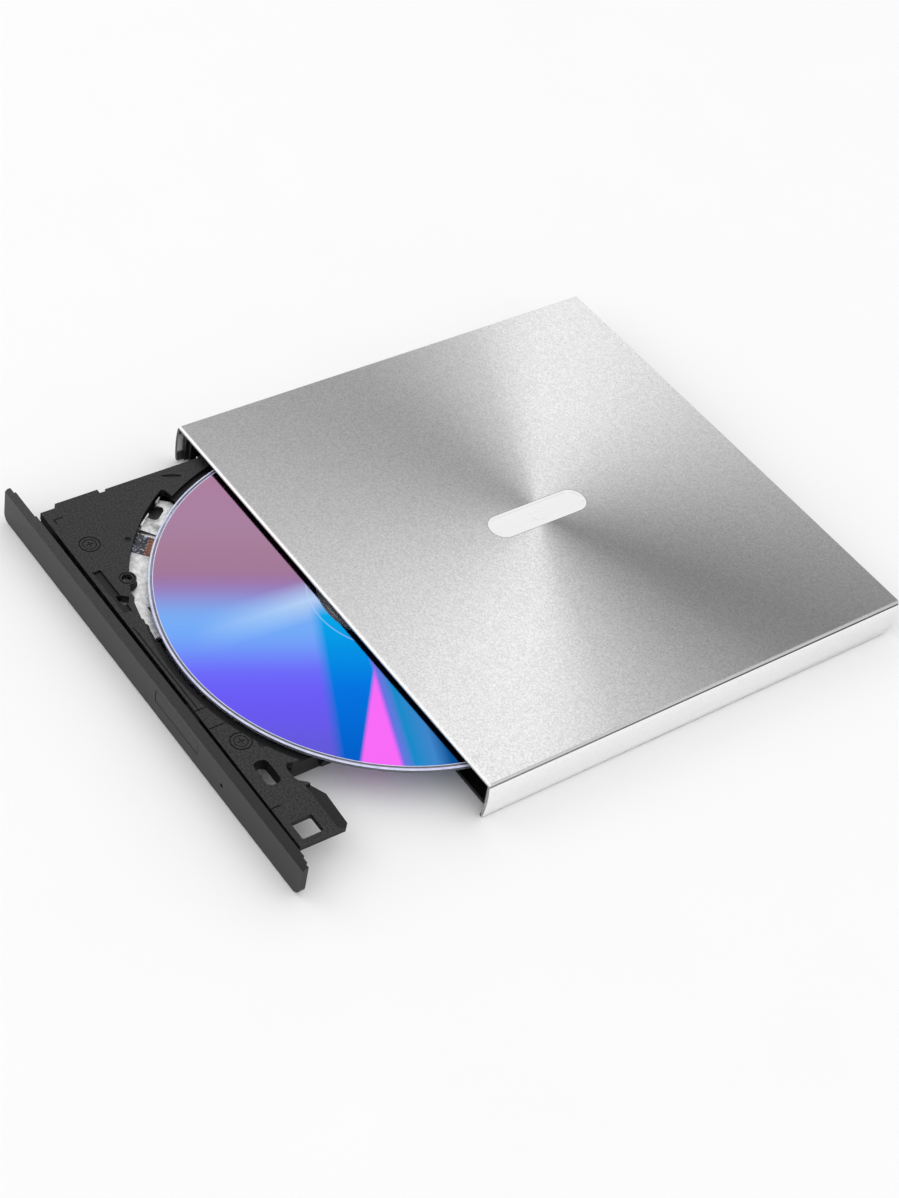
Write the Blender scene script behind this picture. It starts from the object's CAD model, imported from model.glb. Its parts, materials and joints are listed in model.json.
import json
import math

import bmesh
import bpy
from mathutils import Matrix, Vector


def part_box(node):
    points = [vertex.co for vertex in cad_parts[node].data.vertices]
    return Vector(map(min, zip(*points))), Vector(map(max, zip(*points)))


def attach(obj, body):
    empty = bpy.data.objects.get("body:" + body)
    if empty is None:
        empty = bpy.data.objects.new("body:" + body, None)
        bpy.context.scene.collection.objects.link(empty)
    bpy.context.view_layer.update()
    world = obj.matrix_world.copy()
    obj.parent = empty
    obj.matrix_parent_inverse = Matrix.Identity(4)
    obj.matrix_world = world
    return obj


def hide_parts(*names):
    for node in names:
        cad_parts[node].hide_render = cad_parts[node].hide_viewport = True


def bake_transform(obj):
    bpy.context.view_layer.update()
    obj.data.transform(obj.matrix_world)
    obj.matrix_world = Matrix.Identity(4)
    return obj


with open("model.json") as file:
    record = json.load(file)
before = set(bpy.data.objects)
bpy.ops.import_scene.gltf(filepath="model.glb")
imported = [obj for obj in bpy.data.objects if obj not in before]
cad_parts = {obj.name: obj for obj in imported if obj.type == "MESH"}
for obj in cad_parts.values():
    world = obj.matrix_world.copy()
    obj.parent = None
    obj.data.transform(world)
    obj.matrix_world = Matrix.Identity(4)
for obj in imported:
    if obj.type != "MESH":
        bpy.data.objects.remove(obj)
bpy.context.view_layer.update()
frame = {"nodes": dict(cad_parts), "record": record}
MM = 0.001

# Places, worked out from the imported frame
cover_low, cover_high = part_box("top_cover")
disc_low, disc_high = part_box("disc")
tray_low, tray_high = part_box("tray_frame")
cover_centre = (cover_low + cover_high) / 2
spindle = (disc_low + disc_high) / 2
TOP = cover_high.z
# Halfway through the cover's side wall, from the middle of the housing
INNER_WALL = cover_high.x - 1.05 * MM


# ---------- camera, light and floor ----------

def make_camera():
    """Looks down on the front right corner, a little tilted, in portrait."""
    azimuth, elevation, roll = (math.radians(a) for a in (45.715, 43.872, 12.433))
    target = Vector((6.64 * MM, cover_centre.y - 31.39 * MM, 0))
    distance = 620.6 * MM
    back = Vector((math.sin(azimuth) * math.cos(elevation),
                   -math.cos(azimuth) * math.cos(elevation), math.sin(elevation)))
    right = Vector((math.cos(azimuth), math.sin(azimuth), 0))
    up = back.cross(right)
    tilted_right = math.cos(roll) * right + math.sin(roll) * up
    tilted_up = math.cos(roll) * up - math.sin(roll) * right
    data = bpy.data.cameras.new("camera")
    data.lens = 71.88
    data.sensor_width = 36
    data.clip_start, data.clip_end = 0.01, 50
    camera = bpy.data.objects.new("camera", data)
    turn = Matrix((tilted_right, tilted_up, back)).transposed()
    camera.matrix_world = Matrix.Translation(target + distance * back) @ turn.to_4x4()
    bpy.context.scene.collection.objects.link(camera)
    bpy.context.scene.camera = camera


def add_area_light(name, place, size, power):
    """A white rectangular lamp that faces the origin."""
    data = bpy.data.lights.new(name, "AREA")
    data.shape = "RECTANGLE"
    data.size, data.size_y = size
    data.energy = power
    lamp = bpy.data.objects.new(name, data)
    lamp.location = place
    lamp.rotation_euler = (-Vector(place)).to_track_quat("-Z", "Y").to_euler()
    bpy.context.scene.collection.objects.link(lamp)


def make_studio():
    """An even white world, a soft key from the front left and a weak lamp from the right."""
    world = bpy.data.worlds.new("studio")
    world.use_nodes = True
    background = world.node_tree.nodes["Background"]
    background.inputs["Color"].default_value = (1, 1, 1, 1)
    background.inputs["Strength"].default_value = 0.98
    bpy.context.scene.world = world
    bpy.context.scene.view_settings.view_transform = "Standard"
    add_area_light("key_light", (-0.9, -0.75, 1.0), (0.7, 0.7), 1.5)
    add_area_light("side_light", (1.2, 0.1, 0.35), (0.6, 0.4), 0.5)


# ---------- materials ----------

class Finish:
    """One procedural material: a Principled shader and the nodes that feed it."""

    def __init__(self, name, colour, roughness, metallic=0.0, **shader_values):
        self.material = bpy.data.materials.new(name)
        self.material.use_nodes = True
        self.tree = self.material.node_tree
        self.shader = self.tree.nodes["Principled BSDF"]
        self.set("Base Color", (*colour, 1))
        self.set("Roughness", roughness)
        self.set("Metallic", metallic)
        for key, value in shader_values.items():
            self.set(key.replace("_", " "), value)
        self.place = self.node("ShaderNodeTexCoord").outputs["Object"]

    def set(self, socket, value):
        self.shader.inputs[socket].default_value = value

    def feed(self, socket, output):
        self.tree.links.new(output, self.shader.inputs[socket])

    def node(self, kind, inputs=None, **settings):
        made = self.tree.nodes.new(kind)
        for key, value in settings.items():
            setattr(made, key, value)
        for key, value in (inputs or {}).items():
            if isinstance(value, bpy.types.NodeSocket):
                self.tree.links.new(value, made.inputs[key])
            else:
                made.inputs[key].default_value = value
        return made

    def math(self, operation, first, second=0.0, third=0.0, clamp=False):
        inputs = {0: first, 1: second, 2: third}
        return self.node("ShaderNodeMath", inputs, operation=operation,
                         use_clamp=clamp).outputs[0]

    def vector(self, operation, first, second=(0, 0, 0)):
        return self.node("ShaderNodeVectorMath", {0: first, 1: second},
                         operation=operation).outputs[0]

    def flat_length(self, x, y):
        """How far a point is from the upright axis."""
        squares = self.math("ADD", self.math("MULTIPLY", x, x), self.math("MULTIPLY", y, y))
        return self.math("SQRT", squares)

    def vector_length(self, vector):
        return self.node("ShaderNodeVectorMath", {0: vector},
                         operation="LENGTH").outputs["Value"]

    def split(self, vector):
        return self.node("ShaderNodeSeparateXYZ", {0: vector}).outputs

    def noise(self, scale, detail=2.0, place=None, roughness=0.5):
        inputs = {"Vector": place or self.place, "Scale": scale, "Detail": detail,
                  "Roughness": roughness}
        return self.node("ShaderNodeTexNoise", inputs).outputs["Fac"]

    def stretched(self, factors):
        """The place, squeezed along each axis, for brushed patterns."""
        return self.vector("MULTIPLY", self.place, factors)

    def level(self, value, low, high, to_low=0.0, to_high=1.0):
        """Runs straight from to_low at low to to_high at high, and stays level beyond them."""
        inputs = {0: value, 1: low, 2: high, 3: to_low, 4: to_high}
        return self.node("ShaderNodeMapRange", inputs).outputs[0]

    def ramp(self, value, stops, mode="LINEAR"):
        """A colour for a value from 0 to 1, from (position, colour) stops."""
        made = self.node("ShaderNodeValToRGB", {0: value})
        made.color_ramp.interpolation = mode
        elements = made.color_ramp.elements
        elements[0].position, elements[0].color = stops[0][0], (*stops[0][1], 1)
        elements[1].position, elements[1].color = stops[-1][0], (*stops[-1][1], 1)
        for position, colour in stops[1:-1]:
            elements.new(position).color = (*colour, 1)
        return made.outputs[0]

    def mix(self, factor, first, second, blend="MIX"):
        inputs = {0: factor, 6: first, 7: second}
        return self.node("ShaderNodeMix", inputs, data_type="RGBA",
                         blend_type=blend).outputs[2]

    def bump(self, height, distance, strength=1.0):
        made = self.node("ShaderNodeBump", {"Height": height, "Distance": distance,
                                            "Strength": strength})
        self.feed("Normal", made.outputs[0])


def grey(value):
    return (value, value, value)


def srgb(red, green, blue):
    """A colour given as it looks on a screen, 0 to 255, as the shader's linear values."""
    return tuple((c / 255 / 12.92) if c < 11 else ((c / 255 + 0.055) / 1.055) ** 2.4
                 for c in (red, green, blue))


def shade(colour, factor):
    """A colour made darker or lighter, with its alpha."""
    return tuple(factor * c for c in colour) + (1,)


def moulded_plastic(name, colour, roughness, grain=1900.0, depth=0.03 * MM, shine=0.3,
                    contrast=0.6, dark_below=0.0):
    """Grained plastic; below a height it can be darker, as moulded recesses look."""
    finish = Finish(name, colour, roughness, Specular_IOR_Level=shine)
    pits = finish.noise(grain, detail=1.0)
    cloud = finish.noise(60.0, detail=3.0)
    speckle = finish.level(pits, 0.34, 0.66, 1 - contrast, 1 + contrast)
    worn = finish.level(cloud, 0.3, 0.7, 0.85, 1.15)
    tone = finish.math("MULTIPLY", speckle, worn)
    if dark_below:
        height = finish.split(finish.place)[2]
        tone = finish.math("MULTIPLY", tone, finish.level(
            height, dark_below, dark_below + 0.1 * MM, 0.2, 1.0))
    finish.feed("Base Color", finish.mix(1.0, (*colour, 1), tone, "MULTIPLY"))
    finish.feed("Roughness", finish.level(cloud, 0.3, 0.7, roughness - 0.06, roughness + 0.08))
    finish.bump(pits, depth)
    return finish.material


def bezel_plastic(name):
    """Black plastic, lighter toward the left end of the bezel."""
    reach = 70 * MM
    finish = Finish(name, grey(0.02), 0.42, Specular_IOR_Level=0.35)
    x = finish.split(finish.place)[0]
    pits = finish.noise(1900.0, detail=1.0)
    speckle = finish.level(pits, 0.34, 0.66, 0.75, 1.25)
    shade_along = finish.level(x, -reach, reach, 1.7, 0.25)
    tone = finish.math("MULTIPLY", speckle, shade_along)
    finish.feed("Base Color", finish.mix(1.0, (*grey(0.02), 1), tone, "MULTIPLY"))
    finish.feed("Roughness", finish.level(x, -reach, reach, 0.48, 0.34))
    finish.bump(pits, 0.02 * MM)
    return finish.material


def rolled_metal(name, colour, roughness, scale=900.0, contrast=0.12):
    """Sheet metal with fine rolling lines along Y and faint stains."""
    finish = Finish(name, colour, roughness, metallic=1.0)
    lines = finish.noise(scale, detail=3.0, place=finish.stretched((1, 0.02, 1)))
    stains = finish.noise(45.0, detail=4.0)
    tone = finish.math("MULTIPLY_ADD", lines, 0.6, finish.math("MULTIPLY", stains, 0.4))
    finish.feed("Base Color", finish.mix(tone, shade(colour, 1 - contrast),
                                         shade(colour, 1 + contrast)))
    finish.feed("Roughness", finish.level(tone, 0.3, 0.7, roughness - 0.06, roughness + 0.1))
    finish.bump(lines, 0.01 * MM)
    return finish.material


def turned_metal(name, colour, roughness):
    """Metal with a fine even grain, for screws, rods and motors."""
    finish = Finish(name, colour, roughness, metallic=1.0)
    grain = finish.noise(1500.0, detail=2.0)
    finish.feed("Roughness", finish.level(grain, 0.3, 0.7, roughness - 0.08, roughness + 0.1))
    finish.feed("Base Color", finish.mix(grain, shade(colour, 0.85), shade(colour, 1.1)))
    finish.bump(grain, 0.01 * MM)
    return finish.material


# Tone of the spun cover, by turns round its middle, anticlockwise from its darkest fan:
# each bright fan rises slowly and falls quickly
DARKEST = 0.09
COVER_FANS = [
    (0, 0.2), (0.1, 0.4), (0.2, 0.65), (0.3, 0.95), (0.35, 0.6), (0.45, 0.25),
    (0.6, 0.55), (0.7, 0.65), (0.8, 0.95), (0.85, 0.6), (0.95, 0.25), (1, 0.23),
]


def spun_aluminium(name):
    """Bead-blasted aluminium with the fans of light that a spun finish throws on its top."""
    finish = Finish(name, grey(0.8), 0.34, metallic=1.0, Anisotropic=0.4)
    arm = finish.vector("SUBTRACT", finish.place, tuple(cover_centre))
    x, y = finish.split(arm)[:2]
    turn = finish.math("DIVIDE", finish.math("ARCTAN2", y, x), 2 * math.pi)
    share = finish.math("FRACT", finish.math("ADD", turn, 1 - DARKEST))
    fans = finish.ramp(share, [(p, grey(v)) for p, v in COVER_FANS], "B_SPLINE")
    radius = finish.flat_length(x, y)
    faded = finish.level(radius, 0.0, 45 * MM, 0.22, 0.0)
    top_tone = finish.mix(faded, fans, (*grey(0.42), 1))
    # the ground front bevel is bright halfway down and greyer below
    facing = finish.split(finish.node("ShaderNodeTexCoord").outputs["Normal"])
    depth = finish.math("SUBTRACT", TOP, finish.split(finish.place)[2])
    low_bevel = finish.level(depth, 0.66 * MM, 0.58 * MM, 0.45, 0.98)
    high_bevel = finish.level(depth, 0.28 * MM, 0.22 * MM)
    bevel_tone = finish.mix(high_bevel, low_bevel, top_tone)
    to_front = finish.level(facing[1], -0.3, -0.6)
    # the sides are plain, with a dark pressed line below the bend
    off_line = finish.math("ABSOLUTE", finish.math("SUBTRACT", depth, 0.93 * MM))
    line = finish.level(off_line, 0.13 * MM, 0.2 * MM, 0.14, 0.92)
    bend = finish.level(depth, 0.8 * MM, 0.72 * MM)
    side_tone = finish.mix(bend, line, (*grey(0.56), 1))
    edge_tone = finish.mix(to_front, side_tone, bevel_tone)
    tone = finish.mix(finish.level(facing[2], 0.8, 0.98), edge_tone, top_tone)
    # the blasted grain is weaker on the sides
    blast = finish.noise(2300.0, detail=2.0)
    grain_share = finish.level(finish.math("ABSOLUTE", facing[0]), 0.5, 0.9, 1.0, 0.25)
    speckle = finish.mix(grain_share, (1, 1, 1, 1), finish.level(blast, 0.3, 0.7, 0.82, 1.16))
    # the inner faces of the walls are dark
    outside = finish.math("MAXIMUM",
                          finish.level(finish.math("ABSOLUTE", x), INNER_WALL - 0.05 * MM,
                                       INNER_WALL + 0.05 * MM),
                          finish.level(depth, 1.0 * MM, 0.9 * MM))
    # the end of the left wall is as dark as the inside
    left_end = finish.math("MULTIPLY", finish.level(x, 0.0, -60 * MM), to_front)
    below = finish.level(depth, 0.9 * MM, 1.0 * MM)
    outside = finish.math("SUBTRACT", outside, finish.math("MULTIPLY", left_end, below),
                          clamp=True)
    tone = finish.mix(1.0, tone, finish.level(outside, 0.0, 1.0, 0.03, 1.0), "MULTIPLY")
    finish.feed("Metallic", outside)
    finish.feed("Base Color", finish.mix(1.0, tone, speckle, "MULTIPLY"))
    # the highlight is drawn out along the rings of the spun finish
    tangent = finish.node("ShaderNodeCombineXYZ",
                          {0: finish.math("MULTIPLY", y, -1.0), 1: x, 2: 0.0}).outputs[0]
    finish.feed("Tangent", finish.vector("NORMALIZE", tangent))
    finish.feed("Roughness", finish.level(blast, 0.3, 0.7, 0.3, 0.42))
    finish.bump(blast, 0.004 * MM)
    return finish.material


# Directions in the disc's plane that the bands of colour follow
BAND_UP = Vector((-0.894, 0.449, 0))
BAND_RIGHT = Vector((0.449, 0.894, 0))
# Colours of the bands, by how far they lie along BAND_UP from the disc's centre, in mm
DISC_BANDS = [
    (-60, (95, 90, 200)), (-45, (105, 90, 240)), (-28, (110, 90, 255)), (-18, (115, 170, 250)),
    (-8, (120, 180, 250)), (0, (155, 120, 190)), (7, (165, 120, 140)), (25, (170, 135, 170)),
    (60, (180, 120, 150)),
]


def disc_colours(finish, x, y):
    """The sheen of the data side: bands on the left, and sharp fans toward the right."""
    mirrored = finish.math("MULTIPLY", finish.math("ABSOLUTE", y), -1.0)
    up = finish.math("ADD", finish.math("MULTIPLY", x, BAND_UP.x / MM),
                     finish.math("MULTIPLY", mirrored, BAND_UP.y / MM))
    across = finish.math("ADD", finish.math("MULTIPLY", x, BAND_RIGHT.x / MM),
                         finish.math("MULTIPLY", mirrored, BAND_RIGHT.y / MM))
    low, high = DISC_BANDS[0][0], DISC_BANDS[-1][0]
    stops = [((at - low) / (high - low), srgb(*colour)) for at, colour in DISC_BANDS]
    colour = finish.ramp(finish.level(up, low, high), stops, "B_SPLINE")
    # a whitish streak that widens toward the centre
    streak_line = finish.math("MULTIPLY_ADD", across, 0.414, 4.8)
    off_streak = finish.math("ABSOLUTE", finish.math("SUBTRACT", up, streak_line))
    streak = finish.math("MULTIPLY", finish.level(off_streak, 7.5, 0.0, 0.0, 0.8),
                         finish.level(across, -50.0, -22.0))
    colour = finish.mix(streak, colour, (*srgb(190, 222, 255), 1))
    # blue fan
    blue = finish.math("MULTIPLY", finish.level(across, -20.5, -17.5),
                       finish.level(up, -4.0, -9.0))
    blue_tone = finish.ramp(finish.level(up, -60.0, -8.0),
                            [(0, srgb(0, 92, 200)), (0.5, srgb(0, 116, 226)),
                             (1, srgb(0, 170, 236))])
    colour = finish.mix(blue, colour, blue_tone)
    # magenta fan between two straight edges, and teal beyond it
    left_edge = finish.math("MULTIPLY", up, 0.243)
    right_edge = finish.math("MULTIPLY_ADD", up, -0.091, -9.4)
    past_left = finish.math("SUBTRACT", across, left_edge)
    past_right = finish.math("SUBTRACT", across, right_edge)
    colour = finish.mix(finish.level(past_left, -0.5, 0.5), colour, (*srgb(250, 108, 250), 1))
    teal_tone = finish.ramp(finish.level(past_right, 0.0, 21.0),
                            [(0, srgb(120, 110, 235)), (0.16, srgb(20, 140, 205)),
                             (0.4, srgb(64, 136, 206)), (0.58, srgb(10, 84, 152)),
                             (1, srgb(10, 40, 110))])
    return finish.mix(finish.level(past_right, -0.6, 0.6), colour, teal_tone)


def recorded_side(name):
    """The mirrored data zone of the disc, under clear plastic, with its fine spiral."""
    finish = Finish(name, grey(0.8), 0.13, metallic=1.0)
    x, y = finish.split(finish.vector("SUBTRACT", finish.place, tuple(spindle)))[:2]
    radius = finish.flat_length(x, y)
    # a thin pale ring where the recording starts
    off_ring = finish.math("ABSOLUTE", finish.math("SUBTRACT", radius, 20.4 * MM))
    ring = finish.level(off_ring, 0.25 * MM, 0.1 * MM, 0.0, 0.35)
    finish.feed("Base Color", finish.mix(ring, disc_colours(finish, x, y),
                                         (*srgb(200, 220, 255), 1)))
    rings = finish.node("ShaderNodeTexNoise", {"W": finish.math("MULTIPLY", radius, 1500.0),
                                               "Scale": 1.0, "Detail": 3.0},
                        noise_dimensions="1D").outputs["Fac"]
    finish.feed("Roughness", finish.level(rings, 0.3, 0.7, 0.1, 0.17))
    return finish.material


def rim_plastic(name):
    """The frosted edge of the disc, where the light that runs inside it comes out."""
    finish = Finish(name, srgb(214, 216, 244), 0.3, Specular_IOR_Level=0.6)
    haze = finish.noise(500.0, detail=2.0)
    finish.feed("Base Color", finish.mix(haze, (*srgb(176, 178, 226), 1),
                                         (*srgb(238, 240, 255), 1)))
    finish.feed("Roughness", finish.level(haze, 0.3, 0.7, 0.2, 0.4))
    return finish.material


def clear_plastic(name):
    """The disc's clear rim and hub zone, with the faint haze of moulded polycarbonate."""
    finish = Finish(name, (0.6, 0.64, 0.75), 0.05, IOR=1.58, Transmission_Weight=0.85)
    haze = finish.noise(700.0, detail=2.0)
    finish.feed("Base Color", finish.mix(haze, (0.5, 0.54, 0.66, 1), (0.68, 0.72, 0.82, 1)))
    finish.feed("Roughness", finish.level(haze, 0.3, 0.7, 0.03, 0.1))
    return finish.material


def stamped_sheet(name):
    """Bright stamped steel, mottled, with darker smudges toward the bracket."""
    finish = Finish(name, grey(0.75), 0.4, metallic=1.0)
    y = finish.split(finish.place)[1]
    mottle = finish.noise(750.0, detail=3.0, roughness=0.65)
    smudge = finish.noise(260.0, detail=3.0)
    tone = finish.level(mottle, 0.34, 0.66, 0.7, 1.12)
    near_gap = finish.level(y, disc_low.y + 7 * MM, disc_low.y + 15 * MM)
    dirt = finish.math("MULTIPLY", finish.level(smudge, 0.42, 0.6), near_gap)
    tone = finish.math("MULTIPLY", tone, finish.level(dirt, 0.0, 1.0, 1.0, 0.45))
    finish.feed("Base Color", finish.mix(1.0, (*grey(0.8), 1), tone, "MULTIPLY"))
    finish.feed("Roughness", finish.level(mottle, 0.3, 0.7, 0.32, 0.5))
    finish.bump(mottle, 0.02 * MM)
    return finish.material


def pickup_film(name):
    """Flexible circuit: dark and speckled at its outer end, amber toward the middle."""
    finish = Finish(name, (0.05, 0.05, 0.08), 0.3)
    arm = finish.vector("SUBTRACT", finish.place, tuple(spindle))
    radius = finish.vector_length(arm)
    speck = finish.noise(1400.0, detail=3.0, roughness=0.7)
    dark = finish.ramp(finish.level(speck, 0.4, 0.64),
                       [(0, srgb(12, 12, 26)), (0.55, srgb(46, 48, 66)), (1, srgb(190, 196, 214))])
    amber = finish.mix(finish.level(speck, 0.4, 0.6), (*srgb(72, 32, 8), 1),
                       (*srgb(170, 96, 40), 1))
    inward = finish.level(radius, 62.3 * MM, 61.2 * MM)
    finish.feed("Base Color", finish.mix(inward, dark, amber))
    finish.bump(speck, 0.02 * MM)
    return finish.material


def circuit_board(name):
    """Green solder mask with the faint pattern of the tracks under it."""
    finish = Finish(name, (0.03, 0.2, 0.1), 0.35, Specular_IOR_Level=0.5)
    cells = finish.node("ShaderNodeTexBrick", {
        "Vector": finish.place, "Color1": (0.03, 0.2, 0.1, 1), "Color2": (0.025, 0.16, 0.08, 1),
        "Mortar": (0.06, 0.32, 0.16, 1), "Scale": 300.0, "Mortar Size": 0.03,
        "Brick Width": 1.6, "Row Height": 0.3})
    finish.feed("Base Color", cells.outputs["Color"])
    finish.bump(cells.outputs["Fac"], 0.02 * MM)
    return finish.material


def striped_film(name, colour, line_colour, pitch):
    """Film or winding with even lines across X."""
    finish = Finish(name, colour, 0.3)
    wave = finish.node("ShaderNodeTexWave", {"Vector": finish.place,
                                             "Scale": 1 / pitch / 20 * 2 * math.pi,
                                             "Distortion": 0.0}, bands_direction="X")
    lines = finish.level(wave.outputs["Fac"], 0.45, 0.55)
    finish.feed("Base Color", finish.mix(lines, (*colour, 1), (*line_colour, 1)))
    finish.bump(lines, 0.02 * MM)
    return finish.material


def make_finishes():
    """One material for each slot of the record."""
    return {
        "cover_aluminium": spun_aluminium("spun_aluminium"),
        "emblem_metal": rolled_metal("polished_plate", grey(0.88), 0.16, scale=400, contrast=0.05),
        "case_plastic": moulded_plastic("case_plastic", grey(0.008), 0.42),
        "tray_plastic": moulded_plastic("tray_plastic", (0.02, 0.02, 0.021), 0.5,
                                        dark_below=tray_high.z - 0.25 * MM),
        "bezel_plastic": bezel_plastic("bezel_plastic"),
        "foot_rubber": moulded_plastic("foot_rubber", grey(0.02), 0.75, grain=1500),
        "sheet_steel": rolled_metal("sheet_steel", (0.62, 0.63, 0.65), 0.36),
        "bright_sheet": stamped_sheet("bright_sheet"),
        "screw_steel": turned_metal("screw_steel", (0.45, 0.45, 0.46), 0.3),
        "black_screw": turned_metal("black_screw", grey(0.05), 0.32),
        "rod_steel": turned_metal("rod_steel", (0.75, 0.75, 0.77), 0.18),
        "motor_metal": turned_metal("motor_metal", (0.55, 0.56, 0.6), 0.34),
        "board_green": circuit_board("board_green"),
        "chip_black": moulded_plastic("chip_black", grey(0.015), 0.5, grain=4000),
        "connector_shell": rolled_metal("connector_shell", grey(0.75), 0.22),
        "connector_black": moulded_plastic("connector_black", grey(0.02), 0.4),
        "guide_plastic": moulded_plastic("guide_plastic", (0.6, 0.6, 0.56), 0.4),
        "ribbon_film": striped_film("ribbon_film", (0.75, 0.76, 0.78), (0.35, 0.36, 0.4),
                                    0.8 * MM),
        "flex_amber": pickup_film("pickup_film"),
        "coil_copper": striped_film("coil_copper", (0.55, 0.22, 0.1), (0.3, 0.1, 0.04),
                                    0.25 * MM),
        "hub_plastic": moulded_plastic("hub_plastic", grey(0.02), 0.3),
        "pad_rubber": moulded_plastic("pad_rubber", grey(0.04), 0.8, grain=1800),
        "disc_face": recorded_side("recorded_side"),
        "lens_glass": Finish("lens_glass", (0.75, 0.8, 1.0), 0.02,
                             Transmission_Weight=0.9).material,
    }


# Rounding of the edges of the CAD nodes, in mm; "rest" is for nodes that are not named here
EDGE_ROUNDING = {
    "tray_frame": 0.14, "tray_bezel": 0.3, "eject_button": 0.2, "bottom_case": 0.2,
    "mouth_frame": 0.15, "rubber_feet": 0.25, "cover_emblem": 0.06, "plate_bracket": 0.08,
    "traverse_plate": 0.1, "drive_chassis": 0.08, "drive_lid": 0.1, "top_cover": 0.05,
    "lead_screw": 0, "chuck_balls": 0, "rest": 0.08,
}


def finish_frame(finishes):
    """Gives every CAD node its material, joined corners and slightly rounded edges."""
    slots = {part["node"]: part["material_slot"] for part in frame["record"]["subparts"]}
    for name, obj in frame["nodes"].items():
        obj.data.materials.clear()
        obj.data.materials.append(finishes[slots[name]])
        obj.modifiers.new("weld", "WELD").merge_threshold = 0.002 * MM
        width = EDGE_ROUNDING.get(name, EDGE_ROUNDING["rest"]) * MM
        if width > 0:
            bevel = obj.modifiers.new("worn_edges", "BEVEL")
            bevel.width = width
            bevel.segments = 2
            bevel.limit_method = "ANGLE"
            bevel.angle_limit = math.radians(35)
            bevel.use_clamp_overlap = True
            bevel.harden_normals = False


# ---------- pieces that stand for CAD nodes ----------

def add_piece(name, bm, materials, body, slot, *replaced, smooth_angle=35):
    """Turns a bmesh into a piece that rides on a body and stands for CAD nodes.

    A piece with no body is left free, so that it can bend between two bodies."""
    mesh = bpy.data.meshes.new(name)
    bmesh.ops.recalc_face_normals(bm, faces=bm.faces)
    bm.to_mesh(mesh)
    bm.free()
    for material in materials:
        mesh.materials.append(material)
    mesh.shade_smooth()
    mesh.set_sharp_from_angle(angle=math.radians(smooth_angle))
    piece = bpy.data.objects.new(name, mesh)
    bpy.context.scene.collection.objects.link(piece)
    if body:
        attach(piece, body)
    if replaced:
        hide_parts(*replaced)
    return piece


def turned_ring(profile, centre, steps=256):
    """A closed profile of (radius, height, material) points, in mm, swept round an upright axis.

    A point's material is that of the strip from it to the next point."""
    bm = bmesh.new()
    loops = []
    for step in range(steps):
        turn = 2 * math.pi * step / steps
        loops.append([bm.verts.new((centre.x + r * MM * math.cos(turn),
                                    centre.y + r * MM * math.sin(turn), z * MM))
                      for r, z, _ in profile])
    for here, after in zip(loops, loops[1:] + loops[:1]):
        for i, (_, _, material) in enumerate(profile):
            j = (i + 1) % len(profile)
            bm.faces.new((here[i], after[i], after[j], here[j])).material_index = material
    return bm


def make_disc(finishes):
    """The loaded disc: clear hub zone with its stacking groove, data zone and frosted rim."""
    clear, data, frosted = 0, 1, 2
    data_inner, data_outer = 17.9, 58.7
    edge = (disc_high.x - disc_low.x) / 2 / MM
    hole = 7.5
    low, high = disc_low.z / MM, disc_high.z / MM
    profile = [
        (hole, low + 0.15, clear), (hole, high - 0.15, clear), (hole + 0.15, high, clear),
        (16.6, high, clear), (16.8, high - 0.12, clear), (17.4, high - 0.12, clear),
        (17.6, high, clear), (data_inner, high, data), (data_outer, high, frosted),
        (data_outer + 0.2, high, clear),
        (edge - 0.5, high, frosted), (edge - 0.2, high, frosted), (edge, high - 0.2, clear),
        (edge, low + 0.2, frosted), (edge - 0.2, low, clear), (data_outer, low, data),
        (data_inner, low, clear), (hole + 0.15, low, clear),
    ]
    bm = turned_ring(profile, spindle)
    materials = [clear_plastic("clear_plastic"), finishes["disc_face"],
                 rim_plastic("rim_plastic")]
    add_piece("loaded_disc", bm, materials, "spindle", "disc_face", "disc")


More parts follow.
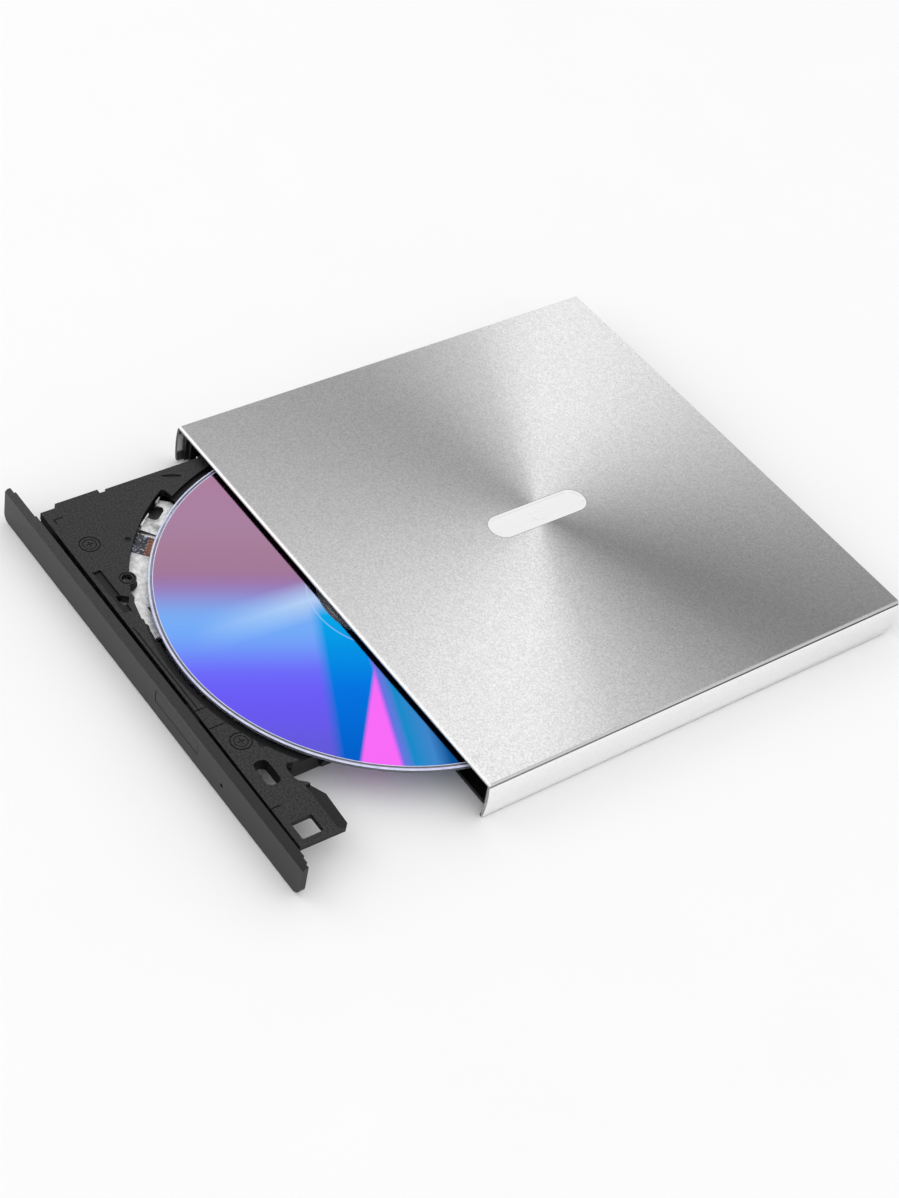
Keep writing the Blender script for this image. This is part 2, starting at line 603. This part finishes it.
def make_ribbon(finishes):
    """The folded ribbon cable, which lengthens from its socket in the case to the tray."""
    low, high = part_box("ribbon_cable")
    film = 0.1 * MM
    middle = (low.z + high.z) / 2
    outer = (high.z - low.z) / 2
    fold_y = low.y + outer
    upper_y = fold_y + 4 * MM
    along = [high.y + (fold_y - high.y) * i / 60 for i in range(60)]
    turns = [math.pi * i / 12 for i in range(13)]
    outline = [(y, low.z) for y in along]
    outline += [(fold_y - outer * math.sin(t), middle - outer * math.cos(t)) for t in turns]
    outline += [(upper_y, high.z), (upper_y, high.z - film)]
    inner = outer - film
    outline += [(fold_y - inner * math.sin(t), middle + inner * math.cos(t)) for t in turns]
    outline += [(y, low.z + film) for y in reversed(along)]
    bm = bmesh.new()
    sides = [[bm.verts.new((x, y, z)) for y, z in outline] for x in (low.x, high.x)]
    for i in range(len(outline)):
        j = (i + 1) % len(outline)
        bm.faces.new((sides[0][i], sides[0][j], sides[1][j], sides[1][i]))
    for side in sides:
        bm.faces.new(side)
    bmesh.ops.triangulate(bm, faces=[face for face in bm.faces if len(face.verts) > 4])
    ribbon = add_piece("folded_ribbon", bm, [finishes["ribbon_film"]], None, "ribbon_film",
                       "ribbon_cable")
    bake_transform(ribbon)


def make_spring(finishes):
    """The ejector's coil spring, which shortens as the plunger is pushed in."""
    low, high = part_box("ejector_spring")
    wire = 0.2 * MM
    coil = (high.x - low.x) / 2 - wire
    turns, steps, sides = 5, 28, 8
    centre = (low + high) / 2
    bm = bmesh.new()
    loops = []
    for step in range(turns * steps + 1):
        angle = 2 * math.pi * step / steps
        share = step / (turns * steps)
        outward = Vector((math.cos(angle), 0, math.sin(angle)))
        middle = Vector((centre.x, low.y + wire + (high.y - low.y - 2 * wire) * share, centre.z))
        loops.append([bm.verts.new(middle + outward * (coil + wire * math.cos(t))
                                   + Vector((0, wire * math.sin(t), 0)))
                      for t in (2 * math.pi * side / sides for side in range(sides))])
    for here, after in zip(loops, loops[1:]):
        for i in range(sides):
            j = (i + 1) % sides
            bm.faces.new((here[i], after[i], after[j], here[j]))
    bm.faces.new(loops[0])
    bm.faces.new(loops[-1])
    spring = add_piece("coil_spring", bm, [finishes["rod_steel"]], None, "rod_steel",
                       "ejector_spring", smooth_angle=50)
    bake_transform(spring)


def make_floor():
    """A wide pale floor that the drive stands on."""
    bm = bmesh.new()
    bmesh.ops.create_grid(bm, x_segments=1, y_segments=1, size=4)
    mesh = bpy.data.meshes.new("floor")
    bm.to_mesh(mesh)
    bm.free()
    finish = Finish("pale_floor", grey(0.95), 0.8)
    dapple = finish.noise(30.0, detail=3.0)
    finish.feed("Base Color", finish.mix(dapple, (*grey(0.94), 1), (*grey(0.96), 1)))
    mesh.materials.append(finish.material)
    floor = bpy.data.objects.new("floor", mesh)
    bpy.context.scene.collection.objects.link(floor)


make_camera()
make_studio()
make_floor()
finishes = make_finishes()
finish_frame(finishes)
make_disc(finishes)
make_ribbon(finishes)
make_spring(finishes)
